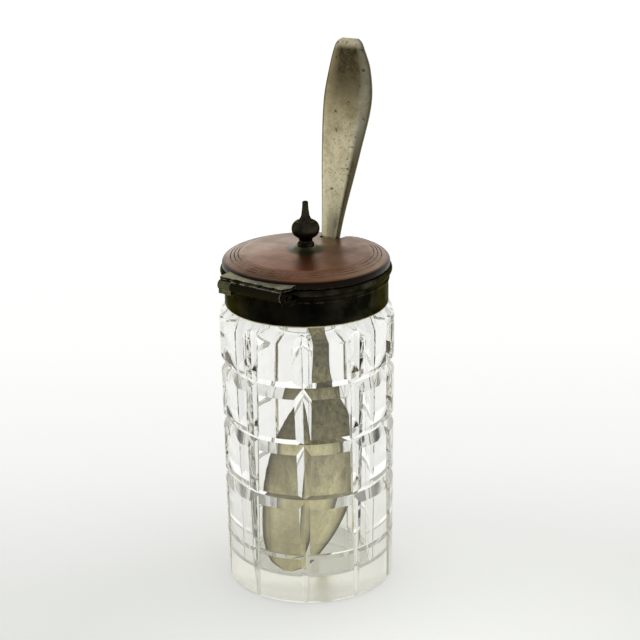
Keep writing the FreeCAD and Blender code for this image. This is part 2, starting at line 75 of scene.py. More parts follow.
def lathe(name, profile):
    """Turns a closed outline of (radius, height) points about the vertical axis."""
    shape = bmesh.new()
    rings = []
    for radius, height in profile:
        if radius < ON_AXIS:
            rings.append([shape.verts.new((0, 0, height))])
            continue
        ring = []
        for step in range(ROUND_STEPS):
            angle = math.tau * step / ROUND_STEPS
            ring.append(shape.verts.new((radius * math.cos(angle), radius * math.sin(angle), height)))
        rings.append(ring)
    for lower, upper in zip(rings, rings[1:] + rings[:1]):
        if len(lower) == 1 and len(upper) == 1:
            continue
        for step in range(ROUND_STEPS):
            following = (step + 1) % ROUND_STEPS
            corners = [lower[step % len(lower)], lower[following % len(lower)],
                       upper[following % len(upper)], upper[step % len(upper)]]
            shape.faces.new(list(dict.fromkeys(corners)))
    bmesh.ops.recalc_face_normals(shape, faces=shape.faces)
    return finished_mesh(name, shape)


def skin(shape, rings):
    """Joins rings of the same number of points into one closed skin."""
    for lower, upper in zip(rings, rings[1:]):
        for corner, point in enumerate(lower):
            following = (corner + 1) % len(lower)
            shape.faces.new((point, lower[following], upper[following], upper[corner]))
    shape.faces.new(rings[0])
    shape.faces.new(rings[-1])
    bmesh.ops.recalc_face_normals(shape, faces=shape.faces)


def arc(centre, radius, start, end, steps):
    """Points along an arc, from the start angle to the end angle in degrees."""
    points = []
    for step in range(steps + 1):
        angle = math.radians(start + (end - start) * step / steps)
        points.append((centre[0] + radius * math.cos(angle), centre[1] + radius * math.sin(angle)))
    return points


# ---------------------------------------------------------------- glass jar

SIDES = 10
GLASS_BOTTOM_RADIUS = 24.5 * MM
GLASS_TOP_RADIUS = 25.19 * MM
GLASS_TOP_LEVEL = 80.5 * MM
BASE_BEVEL = 0.8 * MM
NECK_RADIUS = 22.0 * MM
SHOULDER_RADIUS = 23.3 * MM
SHOULDER_LEVEL = 84.9 * MM
SHOULDER_BEND = 7.0 * MM
SHOULDER_STEPS = 8
RIM_BEVEL = 0.5 * MM
CAVITY_FLOOR = 6.2 * MM
CAVITY_BOTTOM_RADIUS = 18.2 * MM
CAVITY_TOP_RADIUS = 18.8 * MM
CAVITY_FILLET = 2.2 * MM
CAVITY_FILLET_STEPS = 10
# half the width of a cut for each millimetre of its depth
CUT_SLOPE = 1.11
# degrees by which the first upright cut is turned from the x axis
CUT_PHASE = 90 - 3.1
ROW_START = 15.25 * MM
ROW_STEP = 17.145 * MM
ROW_BOTTOM_RADIUS = 22.75 * MM
LOWEST_ROW_BOTTOM_RADIUS = 23.85 * MM
ROWS = 4
COLUMN_DEPTH_LOW = 0.8 * MM
COLUMN_DEPTH_HIGH = 2.7 * MM
COLUMN_START = -1.0 * MM
COLUMN_END = 79.0 * MM
RUNOUT_RADIUS = 6.0 * MM
RUNOUT_LENGTH = 5.0 * MM
RUNOUT_STEPS = 12
# how far each cutter reaches out from the bottom of its cut, past the glass
ROW_CUTTER_REACH = 4.0 * MM
COLUMN_CUTTER_REACH = 5.5 * MM
GLASS_CREASE = 12


def glass_blank():
    """The turned jar before it is cut: up the outside, over the rim and down the inside."""
    outline = [(0, 0), (GLASS_BOTTOM_RADIUS - BASE_BEVEL, 0), (GLASS_BOTTOM_RADIUS, BASE_BEVEL)]
    outline += [(GLASS_TOP_RADIUS, GLASS_TOP_LEVEL)]
    rise = SHOULDER_LEVEL - GLASS_TOP_LEVEL
    narrowing = GLASS_TOP_RADIUS - SHOULDER_RADIUS
    whole_drop = SHOULDER_BEND - math.sqrt(SHOULDER_BEND ** 2 - rise ** 2)
    for step in range(1, SHOULDER_STEPS + 1):
        climb = rise * step / SHOULDER_STEPS
        drop = SHOULDER_BEND - math.sqrt(SHOULDER_BEND ** 2 - climb ** 2)
        outline.append((GLASS_TOP_RADIUS - narrowing * drop / whole_drop, GLASS_TOP_LEVEL + climb))
    rim_edge = GLASS_HIGH.z - RIM_BEVEL
    outline += [(NECK_RADIUS, SHOULDER_LEVEL), (NECK_RADIUS, rim_edge)]
    outline += [(NECK_RADIUS - RIM_BEVEL, GLASS_HIGH.z), (CAVITY_TOP_RADIUS + RIM_BEVEL, GLASS_HIGH.z)]
    outline += [(CAVITY_TOP_RADIUS, rim_edge)]
    fillet_centre = (CAVITY_BOTTOM_RADIUS - CAVITY_FILLET, CAVITY_FLOOR + CAVITY_FILLET)
    outline += arc(fillet_centre, CAVITY_FILLET, 0, -90, CAVITY_FILLET_STEPS)
    outline += [(0, CAVITY_FLOOR)]
    return lathe("glass", outline)


def v_ring(level, bottom):
    """A V-shaped ring that cuts one level groove down to the bottom radius."""
    outer = bottom + ROW_CUTTER_REACH
    half = ROW_CUTTER_REACH * CUT_SLOPE
    return lathe("row_cut", [(bottom, level), (outer, level - half), (outer, level + half)])


def v_bar(angle):
    """A V-shaped bar that cuts one upright groove, deeper at the top, where it ends in a round arch."""
    shape = bmesh.new()
    deepest = GLASS_TOP_RADIUS - COLUMN_DEPTH_HIGH
    stations = [(COLUMN_START, GLASS_BOTTOM_RADIUS - COLUMN_DEPTH_LOW), (COLUMN_END, deepest)]
    for step in range(1, RUNOUT_STEPS + 1):
        climb = RUNOUT_LENGTH * step / RUNOUT_STEPS
        rise = RUNOUT_RADIUS - math.sqrt(RUNOUT_RADIUS ** 2 - climb ** 2)
        stations.append((COLUMN_END + climb, deepest + rise))
    half = COLUMN_CUTTER_REACH * CUT_SLOPE
    rings = []
    for level, bottom in stations:
        outer = bottom + COLUMN_CUTTER_REACH
        corners = ((bottom, 0, level), (outer, half, level), (outer, -half, level))
        rings.append([shape.verts.new(corner) for corner in corners])
    skin(shape, rings)
    bmesh.ops.rotate(shape, verts=shape.verts, cent=(0, 0, 0), matrix=Matrix.Rotation(angle, 3, "Z"))
    return finished_mesh("column_cut", shape)


def cut_away(target, tools):
    """Cuts a group of meshes out of an object in one go, and clears the cutters away."""
    group = bpy.data.collections.new("cutters")
    made = []
    for tool in tools:
        cutter = bpy.data.objects.new("cutter", tool)
        group.objects.link(cutter)
        made.append(cutter)
    modifier = target.modifiers.new("cut", "BOOLEAN")
    modifier.operation = "DIFFERENCE"
    modifier.operand_type = "COLLECTION"
    modifier.collection = group
    modifier.solver = "EXACT"
    bpy.context.view_layer.update()
    evaluated = target.evaluated_get(bpy.context.evaluated_depsgraph_get())
    result = bpy.data.meshes.new_from_object(evaluated)
    target.modifiers.clear()
    target.data = result
    for cutter in made:
        bpy.data.objects.remove(cutter)
    bpy.data.collections.remove(group)


def shade_by_angle(piece, degrees):
    """Smooth faces, with a crease wherever two faces meet at more than the angle."""
    for face in piece.data.polygons:
        face.use_smooth = True
    piece.data.set_sharp_from_angle(angle=math.radians(degrees))


def make_glass():
    """The cut-glass jar: a turned blank less ten upright grooves and four level ones."""
    piece = add_object("glass", glass_blank())
    columns = [v_bar(math.radians(CUT_PHASE + 360 * side / SIDES)) for side in range(SIDES)]
    rows = [v_ring(ROW_START, LOWEST_ROW_BOTTOM_RADIUS)]
    rows += [v_ring(ROW_START + row * ROW_STEP, ROW_BOTTOM_RADIUS) for row in range(1, ROWS)]
    cut_away(piece, columns + rows)
    shade_by_angle(piece, GLASS_CREASE)
    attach(piece, "jar")
    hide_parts("glass_jar")
    return piece


# ---------------------------------------------------------------- spoon

# in millimetres: distance along the spoon, width, depth of the dish, thickness,
# offset behind the handle's line, shift to the right
SPOON_STATIONS = (
    (-3.8, 2.0, 0.1, 0.9, -11.2, 0.0),
    (-1.8, 9.6, 0.5, 1.0, -10.9, 0.1),
    (3.5, 16.6, 2.0, 1.1, -9.8, 0.3),
    (10.0, 21.8, 3.6, 1.2, -8.4, 0.8),
    (20.0, 26.0, 5.2, 1.2, -6.5, 1.3),
    (30.0, 25.4, 5.2, 1.2, -4.6, 1.6),
    (38.0, 21.2, 4.2, 1.3, -3.1, 2.1),
    (44.0, 15.8, 2.6, 1.5, -1.9, 2.4),
    (48.5, 9.6, 1.2, 1.9, -1.0, 1.8),
    (53.5, 6.0, 0.3, 2.2, -0.1, 0.8),
    (60.0, 5.0, -0.2, 2.3, 0.4, 0.1),
    (72.0, 4.4, -0.5, 2.4, -0.2, 0.0),
    (94.0, 5.6, -0.5, 2.0, -0.6, 0.0),
    (118.0, 11.5, -0.6, 1.7, 0.2, 0.5),
    (133.0, 14.4, -0.6, 1.6, 1.4, 0.75),
    (142.5, 12.3, -0.6, 1.6, 2.5, 0.2),
    (148.5, 8.8, -0.5, 1.5, 3.4, -0.8),
    (150.0, 7.2, -0.4, 1.4, 4.1, -1.0),
    (150.97, 4.8, -0.3, 1.2, 4.79, -1.1),
)
# thickness along the spoon's edges, in millimetres
SPOON_EDGE = 0.7
SPOON_FOOT = Vector((0.63, -4.9, 8.6)) * MM
SPOON_LEAN_BACK = math.radians(12.95)
SPOON_LEAN_SIDE = math.radians(-2.06)
SPOON_TWIST = math.radians(18)
SPOON_LEAN = Matrix.Rotation(SPOON_LEAN_SIDE, 4, "Y") @ Matrix.Rotation(-SPOON_LEAN_BACK, 4, "X")
SPOON_AXIS = SPOON_LEAN @ Vector(UP)
# in millimetres along the spoon: where its sections begin to change from the bowl's to the handle's,
# and where they are all handle
BOWL_END = 52.0
HANDLE_START = 96.0
BOWL_FLATNESS = 2.0
HANDLE_FLATNESS = 4.5
SPOON_RINGS = 170
SPOON_ACROSS = 32
# how strongly the rings crowd together towards both ends; 0 spaces them evenly
SPOON_END_CROWDING = 0.1
SPOON_CREASE = 40


def station_at(distance):
    """The spoon's sizes at a distance, on a smooth curve through the stations."""
    last = len(SPOON_STATIONS) - 2
    index = 0
    while index < last and SPOON_STATIONS[index + 1][0] < distance:
        index += 1
    before = SPOON_STATIONS[max(index - 1, 0)]
    low = SPOON_STATIONS[index]
    high = SPOON_STATIONS[index + 1]
    after = SPOON_STATIONS[min(index + 2, last + 1)]
    gap = high[0] - low[0]
    share = (distance - low[0]) / gap
    blend = 3 * share ** 2 - 2 * share ** 3
    leaving = gap * (share ** 3 - 2 * share ** 2 + share)
    arriving = gap * (share ** 3 - share ** 2)
    sizes = []
    for item in range(1, len(low)):
        slope_low = (high[item] - before[item]) / (high[0] - before[0])
        slope_high = (after[item] - low[item]) / (after[0] - low[0])
        straight = low[item] + (high[item] - low[item]) * blend
        sizes.append(straight + leaving * slope_low + arriving * slope_high)
    return sizes


def flatness(distance):
    """How flat the middle of a section is: a plain bow in the bowl, a flat with bevelled sides above."""
    share = min(max((distance - BOWL_END) / (HANDLE_START - BOWL_END), 0), 1)
    return BOWL_FLATNESS + (HANDLE_FLATNESS - BOWL_FLATNESS) * share


def spoon_ring(distance):
    """The points round a section, the front and then the back, each with its place across the spoon."""
    width, dish, thick, offset, shift = station_at(distance)
    half = width / 2
    power = flatness(distance)
    ring = []
    for direction, bow, edge in ((1, dish, 0), (-1, dish + thick - SPOON_EDGE, SPOON_EDGE)):
        for step in range(SPOON_ACROSS + 1):
            place = direction * math.sin(math.pi * (step / SPOON_ACROSS - 0.5))
            sag = bow * (1 - abs(place) ** power) + edge
            ring.append((Vector((shift + half * place, offset + sag, distance)) * MM, place))
    return ring


def make_spoon():
    """The spoon as one skinned mesh, leaned into the notch."""
    shape = bmesh.new()
    across = shape.verts.layers.float.new("across")
    start = SPOON_STATIONS[0][0]
    length = SPOON_STATIONS[-1][0] - start
    rings = []
    for step in range(SPOON_RINGS + 1):
        share = step / SPOON_RINGS
        distance = start + length * (share - math.sin(math.tau * share) * SPOON_END_CROWDING)
        ring = []
        for point, place in spoon_ring(distance):
            ring.append(shape.verts.new(point))
            ring[-1][across] = place
        rings.append(ring)
    skin(shape, rings)
    stand = Matrix.Translation(SPOON_FOOT) @ SPOON_LEAN @ Matrix.Rotation(SPOON_TWIST, 4, "Z")
    bmesh.ops.transform(shape, matrix=stand, verts=shape.verts)
    piece = add_object("table_spoon", finished_mesh("table_spoon", shape))
    shade_by_angle(piece, SPOON_CREASE)
    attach(piece, "spoon")
    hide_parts("spoon")
    return piece


# ---------------------------------------------------------------- shader building blocks

def new_material(name):
    """An empty material with one Principled shader."""
    material = bpy.data.materials.new(name)
    material.use_nodes = True
    shader = material.node_tree.nodes["Principled BSDF"]
    return material, material.node_tree, shader


def object_place(tree):
    """Where a point lies in the object's own space."""
    return tree.nodes.new("ShaderNodeTexCoord").outputs["Object"]


def noise(tree, scale, detail=4.0, roughness=0.55, stretch=(1, 1, 1)):
    """Noise in the object's own space, stretched along its axes."""
    mapping = tree.nodes.new("ShaderNodeMapping")
    mapping.inputs["Scale"].default_value = stretch
    texture = tree.nodes.new("ShaderNodeTexNoise")
    texture.inputs["Scale"].default_value = scale
    texture.inputs["Detail"].default_value = detail
    texture.inputs["Roughness"].default_value = roughness
    tree.links.new(object_place(tree), mapping.inputs["Vector"])
    tree.links.new(mapping.outputs["Vector"], texture.inputs["Vector"])
    return texture.outputs["Fac"]


def ramp(tree, source, stops):
    """Maps a value to colours; each stop is (position, colour)."""
    node = tree.nodes.new("ShaderNodeValToRGB")
    elements = node.color_ramp.elements
    elements[0].position, elements[0].color = stops[0][0], (*stops[0][1], 1)
    elements[1].position, elements[1].color = stops[-1][0], (*stops[-1][1], 1)
    for position, colour in stops[1:-1]:
        elements.new(position).color = (*colour, 1)
    tree.links.new(source, node.inputs["Fac"])
    return node.outputs["Color"]


def span(tree, source, low, high, new_low, new_high):
    """Rescales a value from one range to another, and clamps it to the new range."""
    node = tree.nodes.new("ShaderNodeMapRange")
    node.inputs["From Min"].default_value = low
    node.inputs["From Max"].default_value = high
    node.inputs["To Min"].default_value = new_low
    node.inputs["To Max"].default_value = new_high
    tree.links.new(source, node.inputs["Value"])
    return node.outputs["Result"]


def bump(tree, shader, height, distance):
    """Adds relief of a depth in metres from a height value."""
    node = tree.nodes.new("ShaderNodeBump")
    node.inputs["Distance"].default_value = distance
    node.inputs["Strength"].default_value = 1.0
    tree.links.new(height, node.inputs["Height"])
    tree.links.new(node.outputs["Normal"], shader.inputs["Normal"])


def mix(tree, share, first, second):
    """Blends two colours; each is a colour or another node's output."""
    node = tree.nodes.new("ShaderNodeMix")
    node.data_type = "RGBA"
    tree.links.new(share, node.inputs["Factor"])
    for socket, colour in ((node.inputs[6], first), (node.inputs[7], second)):
        if isinstance(colour, tuple):
            socket.default_value = (*colour, 1)
        else:
            tree.links.new(colour, socket)
    return node.outputs[2]


def maths(tree, operation, *values):
    """One step of arithmetic on other nodes' values."""
    node = tree.nodes.new("ShaderNodeMath")
    node.operation = operation
    for socket, value in zip(node.inputs, values):
        tree.links.new(value, socket)
    return node.outputs["Value"]


def times(tree, *values):
    """The product of two or more values, which narrows a mask to where they all are high."""
    product = values[0]
    for value in values[1:]:
        product = maths(tree, "MULTIPLY", product, value)
    return product


def dot(tree, vector, direction):
    """How far a vector reaches along a fixed direction."""
    node = tree.nodes.new("ShaderNodeVectorMath")
    node.operation = "DOT_PRODUCT"
    tree.links.new(vector, node.inputs[0])
    node.inputs[1].default_value = direction
    return node.outputs["Value"]


def along(tree, direction):
    """How far a point of the object lies along a direction, in metres."""
    return dot(tree, object_place(tree), direction)


def distance_from(tree, point, stretch=(1, 1, 1)):
    """How far a point of the object lies from a fixed point, in metres, once it is stretched."""
    stretched = tree.nodes.new("ShaderNodeVectorMath")
    stretched.operation = "MULTIPLY"
    stretched.inputs[1].default_value = stretch
    node = tree.nodes.new("ShaderNodeVectorMath")
    node.operation = "DISTANCE"
    node.inputs[1].default_value = point
    tree.links.new(object_place(tree), stretched.inputs[0])
    tree.links.new(stretched.outputs["Vector"], node.inputs[0])
    return node.outputs["Value"]


def facing_up(tree):
    """How far the surface faces upwards, from -1 to 1."""
    return dot(tree, tree.nodes.new("ShaderNodeNewGeometry").outputs["Normal"], UP)


BEVEL_SAMPLES = 6
# how well the rounded and the true surface agree where edge wear and painted highlight begin, and where
# they are full
EDGE_WEAR_AND_HIGHLIGHT_BEGINS = 0.995
EDGE_WEAR_AND_HIGHLIGHT_FULL = 0.90


def worn_and_highlit_edges(tree, reach):
    """High where the surface turns sharply outwards: the edges that handling has polished bright, which
    also carry painted highlights.
    """
    rounded = tree.nodes.new("ShaderNodeBevel")
    rounded.samples = BEVEL_SAMPLES
    rounded.inputs["Radius"].default_value = reach
    geometry = tree.nodes.new("ShaderNodeNewGeometry")
    node = tree.nodes.new("ShaderNodeVectorMath")
    node.operation = "DOT_PRODUCT"
    tree.links.new(rounded.outputs["Normal"], node.inputs[0])
    tree.links.new(geometry.outputs["Normal"], node.inputs[1])
    return span(tree, node.outputs["Value"], EDGE_WEAR_AND_HIGHLIGHT_BEGINS, EDGE_WEAR_AND_HIGHLIGHT_FULL, 0.0, 1.0)


# ---------------------------------------------------------------- glass and cement

def glass_material():
    """Clear old glass: tinted towards the base, faintly rippled, a little worn, dull underneath."""
    material, tree, shader = new_material("cut_glass")
    height = along(tree, UP)
    tone = ramp(tree, span(tree, height, 8 * MM, 30 * MM, 0.0, 1.0),
                [(0.0, (0.955, 0.955, 0.90)), (1.0, (1.0, 1.0, 1.0))])
    tree.links.new(tone, shader.inputs["Base Color"])
    shader.inputs["Transmission Weight"].default_value = 1.0
    shader.inputs["IOR"].default_value = 1.51
    wear = span(tree, noise(tree, 900, 3.0), 0.6, 0.8, 0.0, 0.03)
    underside = span(tree, height, 0.2 * MM, 0.8 * MM, 0.17, 0.0)
    tree.links.new(maths(tree, "ADD", wear, underside), shader.inputs["Roughness"])
    bump(tree, shader, noise(tree, 35, 0.0), 0.012 * MM)
    tint = tree.nodes.new("ShaderNodeVolumeAbsorption")
    tint.inputs["Color"].default_value = (0.55, 0.53, 0.36, 1)
    tint.inputs["Density"].default_value = 5.5
    tree.links.new(tint.outputs["Volume"], tree.nodes["Material Output"].inputs["Volume"])
    return material


def cement_material():
    """The plaster bed of the collar: cream in patches, dull and grainy."""
    material, tree, shader = new_material("neck_cement")
    patches = noise(tree, 400, 6.0, 0.62)
    colour = ramp(tree, patches, [(0.34, (0.55, 0.45, 0.24)), (0.5, (0.74, 0.64, 0.38)),
                                  (0.66, (0.84, 0.76, 0.52))])
    tree.links.new(colour, shader.inputs["Base Color"])
    tree.links.new(span(tree, patches, 0.35, 0.65, 0.9, 0.7), shader.inputs["Roughness"])
    bump(tree, shader, noise(tree, 3200, 5.0), 0.08 * MM)
    return material


# ---------------------------------------------------------------- lid

BLACK = (0, 0, 0)
WHITE = (1, 1, 1)
# directions from the lid's axis: to its painted pale reflection at the back left, and to its right side,
# where its rim carries painted light
LID_PAINTED_SHEEN_SIDE = (-0.93, 0.37, 0.0)
LID_RIGHT_SIDE = (0.95, 0.30, 0.0)
# the middle of the painted red-brown shade in front of the finial
LID_DARK_PLACE = Vector((8.0, -12.5, 100.0)) * MM
# radii between which the three engraved lines lie, and the lines as shares of the way between
LID_LINES_SPAN = (18 * MM, 23 * MM)
LID_LINE_SHARES = (0.27, 0.49, 0.71)
LID_LINE_HALF = 0.025
LID_LINE_FADE = 0.04
# levels between which the rim's painted black shade gives way to copper, and between which edge wear and
# painted highlights set in
LID_RIM_SHADE_FADE = (LID_LOW.z + 1.55 * MM, LID_LOW.z + 2.05 * MM)
LID_EDGE_WEAR_AND_HIGHLIGHT_FADE = (LID_LOW.z + 1.2 * MM, LID_LOW.z + 1.6 * MM)
LID_EDGE_WEAR_AND_HIGHLIGHT_REACH = 0.4 * MM


def engraved_lines(tree, radius):
    """White in the lid's three engraved lines, black elsewhere."""
    stops = [(0.0, BLACK)]
    for share in LID_LINE_SHARES:
        stops += [(share - LID_LINE_HALF - LID_LINE_FADE, BLACK), (share - LID_LINE_HALF, WHITE)]
        stops += [(share + LID_LINE_HALF, WHITE), (share + LID_LINE_HALF + LID_LINE_FADE, BLACK)]
    return ramp(tree, span(tree, radius, *LID_LINES_SPAN, 0.0, 1.0), stops)


def copper_tone(tree, patches, cloud, radius):
    """The lid's browns, with a painted pale reflection on its left, painted warm light at its right rim
    and painted red-brown shade in front of the finial.
    """
    colour = ramp(tree, patches, [(0.34, (0.115, 0.052, 0.024)), (0.5, (0.19, 0.092, 0.044)),
                                  (0.64, (0.30, 0.155, 0.080))])
    # painted reflection: paler and greyer towards the back left
    painted_sheen = span(tree, along(tree, LID_PAINTED_SHEEN_SIDE), -2 * MM, 18 * MM, 0.0, 0.8)
    colour = mix(tree, times(tree, painted_sheen, cloud), colour, (0.36, 0.265, 0.205))
    # painted light: the rim lighter and warmer on the right
    right = span(tree, along(tree, LID_RIGHT_SIDE), 6 * MM, 16 * MM, 0.0, 0.6)
    rim = span(tree, radius, 18.5 * MM, 22.5 * MM, 0.0, 1.0)
    colour = mix(tree, times(tree, rim, right), colour, (0.30, 0.20, 0.14))
    # painted shade: a darker red-brown in front of the finial
    front = span(tree, distance_from(tree, LID_DARK_PLACE), 4 * MM, 20 * MM, 0.9, 0.0)
    return mix(tree, times(tree, front, cloud), colour, (0.21, 0.066, 0.020))


def copper_dirt_and_shade(tree, colour, cloud, radius, blot):
    """Green round the finial's foot and black in the engraved lines, with painted shade, near black,
    towards the hinge and down the rim.
    """
    foot = span(tree, radius, 4.2 * MM, 7.2 * MM, 1.0, 0.0)
    green = span(tree, times(tree, foot, blot), 0.18, 0.36, 0.0, 0.9)
    colour = mix(tree, green, colour, (0.070, 0.080, 0.040))
    lines = times(tree, engraved_lines(tree, radius), span(tree, blot, 0.3, 0.6, 0.6, 1.0))
    colour = mix(tree, lines, colour, (0.02, 0.012, 0.008))
    # painted shade: the lid darker towards the hinge
    hinge = span(tree, along(tree, (0, 1, 0)), -19 * MM, -23.5 * MM, 0.0, 0.8)
    colour = mix(tree, times(tree, hinge, cloud), colour, (0.045, 0.028, 0.018))
    # painted shade: the lower part of the rim near black
    rim = span(tree, along(tree, UP), *LID_RIM_SHADE_FADE, 1.0, 0.0)
    return mix(tree, rim, colour, (0.010, 0.006, 0.004))


def copper_material():
    """The lid's copper: brown with lighter edges from handling and painted highlights, painted black
    shade down the rim, and black in the engraved lines.
    """
    material, tree, shader = new_material("lid_copper")
    patches = noise(tree, 60, 7.0, 0.66)
    cloud = span(tree, noise(tree, 120, 5.0, 0.6), 0.36, 0.56, 0.45, 1.0)
    blot = noise(tree, 200, 4.0)
    radius = distance_from(tree, (0, 0, 0), (1, 1, 0))
    colour = copper_tone(tree, patches, cloud, radius)
    colour = copper_dirt_and_shade(tree, colour, cloud, radius, blot)
    upper = span(tree, along(tree, UP), *LID_EDGE_WEAR_AND_HIGHLIGHT_FADE, 0.0, 1.0)
    # the upper edges lighter: handling wear together with a painted highlight
    worn = times(tree, worn_and_highlit_edges(tree, LID_EDGE_WEAR_AND_HIGHLIGHT_REACH), upper, span(tree, blot, 0.35, 0.6, 0.0, 0.7))
    colour = mix(tree, worn, colour, (0.50, 0.36, 0.27))
    tree.links.new(colour, shader.inputs["Base Color"])
    shader.inputs["Metallic"].default_value = 0.92
    tree.links.new(span(tree, patches, 0.35, 0.65, 0.44, 0.30), shader.inputs["Roughness"])
    bump(tree, shader, noise(tree, 420, 6.0, 0.65), 0.04 * MM)
    return material


# ---------------------------------------------------------------- silver

# the spoon's tones from the tip of its bowl to the end of its handle, partly tarnish and partly painted
# shade and reflection, and how far along the spoon's axis the first and the last of them lie
SPOON_SPAN = (3.5 * MM, 158.5 * MM)
SPOON_TONES = [(0.0, (0.90, 0.83, 0.50)), (0.14, (0.98, 0.90, 0.54)), (0.21, (0.66, 0.60, 0.36)),
               (0.265, (0.40, 0.35, 0.15)), (0.32, (0.30, 0.265, 0.105)), (0.36, (0.50, 0.45, 0.22)),
               (0.43, (0.19, 0.165, 0.075)), (0.52, (0.16, 0.14, 0.07)), (0.60, (0.62, 0.57, 0.37)),
               (0.70, (0.80, 0.74, 0.50)), (0.80, (0.80, 0.72, 0.48)), (0.865, (0.56, 0.48, 0.29)),
               (0.92, (0.38, 0.32, 0.175)), (0.978, (0.36, 0.30, 0.17)), (0.986, (0.72, 0.63, 0.42)),
               (1.0, (0.78, 0.69, 0.48))]
# how far the clouds push the borders between the tones up and down the spoon
TONE_SHIFT = 2.2 * MM


def plate_tone(tree, length, cloud):
    """The plate's tone along the spoon, with cloudy borders: partly tarnish, partly painted shade and
    reflection.
    """
    shift = span(tree, cloud, 0.3, 0.7, -TONE_SHIFT, TONE_SHIFT)
    shifted = maths(tree, "ADD", length, shift)
    return ramp(tree, span(tree, shifted, *SPOON_SPAN, 0.0, 1.0), SPOON_TONES)


def bowl_shade_and_wear(tree, colour, length, across, edge, used):
    """The bowl's painted shade, dark down its left side and along its lip, and its long streaks."""
    in_bowl = span(tree, length, 46 * MM, 54 * MM, 1.0, 0.0)
    # painted shade: the bowl's left side darker
    left = times(tree, span(tree, across, -0.45, 0.05, 1.0, 0.0),
                 span(tree, length, 24 * MM, 40 * MM, 0.0, 0.75), in_bowl)
    colour = mix(tree, left, colour, (0.19, 0.17, 0.095))
    streaks = span(tree, noise(tree, 300, 5.0, 0.7, (1.0, 1.0, 0.14)), 0.42, 0.64, 0.0, 0.75)
    colour = mix(tree, times(tree, streaks, used, in_bowl), colour, (0.27, 0.24, 0.12))
    # painted shade: a dark line along the bowl's lip
    lip = times(tree, span(tree, edge, 0.72, 0.98, 0.0, 0.8), in_bowl)
    return mix(tree, lip, colour, (0.20, 0.168, 0.085))


def handle_shade(tree, colour, length, across, edge, cloud, on_handle):
    """Painted light and shade on the handle's right bevel, and the dark middle of its tip."""
    # painted highlight on the handle's right bevel
    painted_sheen = times(tree, span(tree, across, 0.42, 0.58, 0.0, 1.0),
                  span(tree, length, 116 * MM, 132 * MM, 0.0, 0.6))
    colour = mix(tree, painted_sheen, colour, (0.66, 0.66, 0.56))
    # painted shade down the handle's right bevel
    strip = times(tree, span(tree, across, 0.54, 0.72, 0.0, 1.0),
                  span(tree, length, 122 * MM, 143 * MM, 1.0, 0.15), on_handle)
    colour = mix(tree, strip, colour, (0.055, 0.044, 0.023))
    middle = times(tree, span(tree, edge, 0.50, 0.95, 1.0, 0.0), span(tree, cloud, 0.3, 0.5, 0.75, 1.0))
    tip = times(tree, span(tree, length, 133 * MM, 149 * MM, 0.0, 1.0),
                span(tree, length, 155 * MM, 156.2 * MM, 1.0, 0.0))
    return mix(tree, times(tree, middle, tip), colour, (0.055, 0.042, 0.020))


def plate_marks(tree, colour, length, scratches, cloud, used):
    """Fine scratches, grain and stains all over, and black tarnish up the stem."""
    fine = times(tree, span(tree, scratches, 0.36, 0.64, 0.0, 1.0),
                 span(tree, noise(tree, 50, 3.0), 0.3, 0.7, 0.05, 0.22))
    colour = mix(tree, fine, colour, (0.36, 0.32, 0.19))
    grain = span(tree, noise(tree, 1500, 3.0, 0.65), 0.52, 0.68, 0.0, 0.5)
    colour = mix(tree, times(tree, grain, used), colour, (0.24, 0.195, 0.11))
    stain = span(tree, cloud, 0.56, 0.72, 0.0, 0.5)
    colour = mix(tree, times(tree, stain, used), colour, (0.25, 0.19, 0.10))
    tarnish = span(tree, noise(tree, 620, 6.0, 0.8), 0.34, 0.66, 0.0, 1.0)
    stem = times(tree, span(tree, length, 30 * MM, 46 * MM, 0.0, 0.95),
                 span(tree, length, 78 * MM, 96 * MM, 1.0, 0.0))
    return mix(tree, times(tree, tarnish, stem), colour, (0.055, 0.045, 0.013))


def handle_marks_and_shade(tree, colour, length, across, on_handle):
    """The handle's brown blotches and its pits, and painted shade along its right edge."""
    brown = times(tree, span(tree, noise(tree, 260, 5.0, 0.7), 0.48, 0.62, 0.0, 0.5),
                  span(tree, length, 112 * MM, 138 * MM, 0.15, 0.9), on_handle)
    colour = mix(tree, brown, colour, (0.23, 0.18, 0.085))
    # painted shade: the handle's right edge darker
    outer = times(tree, span(tree, across, 0.74, 0.92, 0.0, 0.65), on_handle)
    colour = mix(tree, outer, colour, (0.14, 0.12, 0.07))
    pits = span(tree, noise(tree, 650, 2.0, 0.5), 0.66, 0.73, 0.0, 0.85)
    return mix(tree, times(tree, pits, on_handle), colour, (0.07, 0.055, 0.025))


def silver_material():
    """The spoon's tarnished plate: khaki grey with long scratches, small pits and stains, with painted
    light and shade on its bevels.
    """
    material, tree, shader = new_material("tarnished_silver")
    length = along(tree, SPOON_AXIS)
    side = tree.nodes.new("ShaderNodeAttribute")
    side.attribute_name = "across"
    across = side.outputs["Fac"]
    edge = maths(tree, "ABSOLUTE", across)
    cloud = noise(tree, 110, 5.0, 0.62)
    scratches = noise(tree, 700, 3.0, 0.6, (1.0, 1.0, 0.06))
    used = span(tree, length, 16 * MM, 32 * MM, 0.3, 1.0)
    on_handle = span(tree, length, 70 * MM, 100 * MM, 0.0, 1.0)
    colour = plate_tone(tree, length, cloud)
    colour = bowl_shade_and_wear(tree, colour, length, across, edge, used)
    colour = handle_shade(tree, colour, length, across, edge, cloud, on_handle)
    colour = plate_marks(tree, colour, length, scratches, cloud, used)
    colour = handle_marks_and_shade(tree, colour, length, across, on_handle)
    # painted shade: a thin dark line along the spoon's edges
    colour = mix(tree, span(tree, edge, 0.90, 0.97, 0.0, 0.85), colour, (0.11, 0.09, 0.055))
    tree.links.new(colour, shader.inputs["Base Color"])
    shader.inputs["Metallic"].default_value = 1.0
    tree.links.new(span(tree, scratches, 0.3, 0.7, 0.28, 0.42), shader.inputs["Roughness"])
    bump(tree, shader, scratches, 0.02 * MM)
    return material


